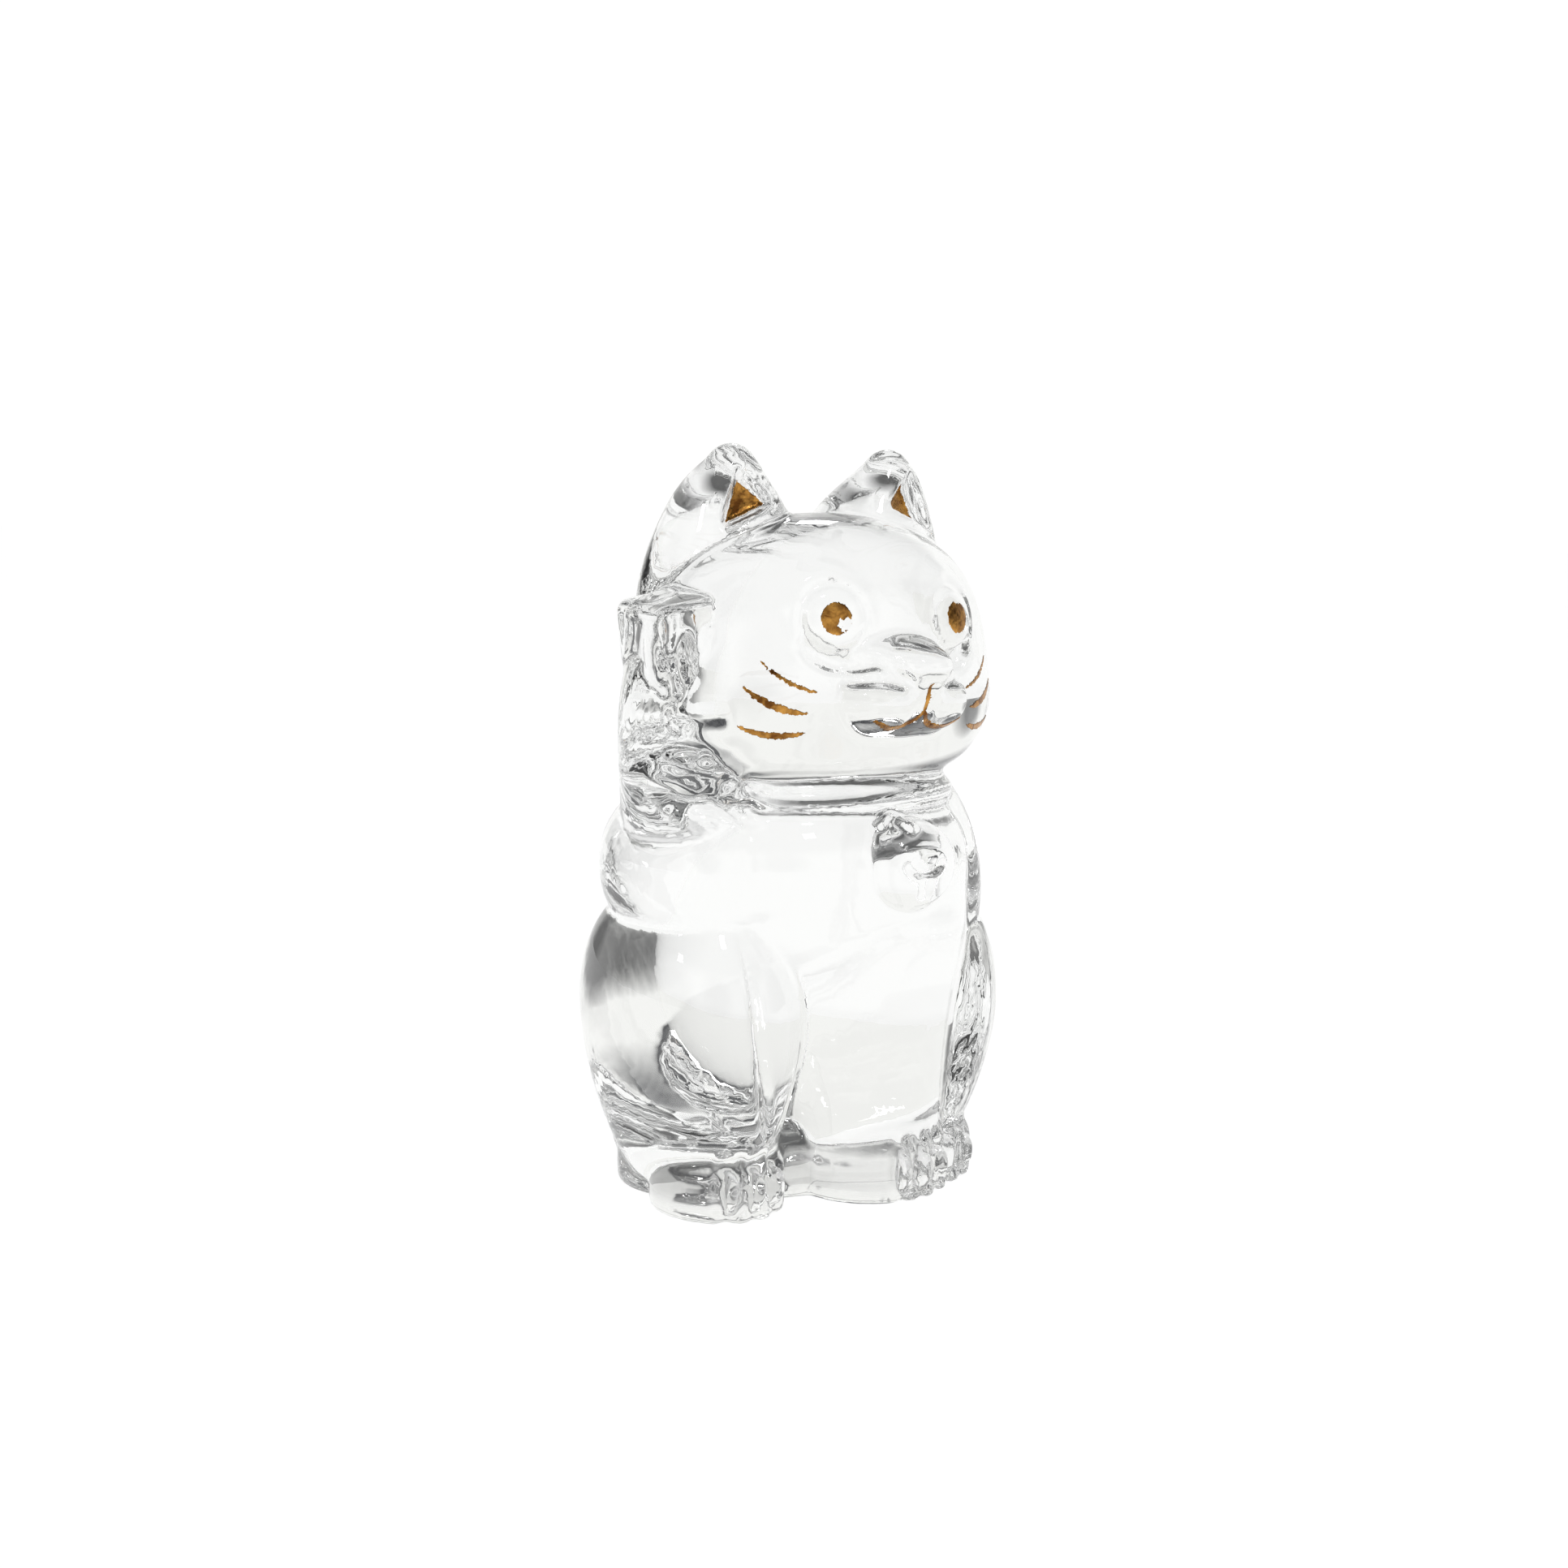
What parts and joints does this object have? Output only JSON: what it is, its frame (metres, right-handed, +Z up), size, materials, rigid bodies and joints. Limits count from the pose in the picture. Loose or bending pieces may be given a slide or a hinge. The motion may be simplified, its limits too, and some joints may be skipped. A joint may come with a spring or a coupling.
{
  "type": "beckoning cat figurine",
  "caption": "Solid clear crystal figurine of a seated cat with one raised beckoning paw, a collar and bell, and gilt eyes, ears, mouth and whiskers.",
  "frame": {"origin": "bottom centre of the whole figure's box, on the ground base", "axes": "+Z up; the cat looks along -Y and raises its right paw, which is on the -X side"},
  "size_m": [0.0592, 0.0538, 0.0991],
  "materials": {
    "crystal": "fire-polished clear lead crystal with a ground and polished base",
    "gilt": "fired bright gold, worn at its edges"
  },
  "bodies": {
    "root": {"crystal_body": "crystal", "gilt_eye_right": "gilt", "gilt_eye_left": "gilt", "gilt_ear_right": "gilt", "gilt_ear_left": "gilt", "gilt_mouth": "gilt", "gilt_whisker_right_upper": "gilt", "gilt_whisker_right_middle": "gilt", "gilt_whisker_right_lower": "gilt", "gilt_whisker_left_upper": "gilt", "gilt_whisker_left_middle": "gilt", "gilt_whisker_left_lower": "gilt"}
  },
  "joints": []
}
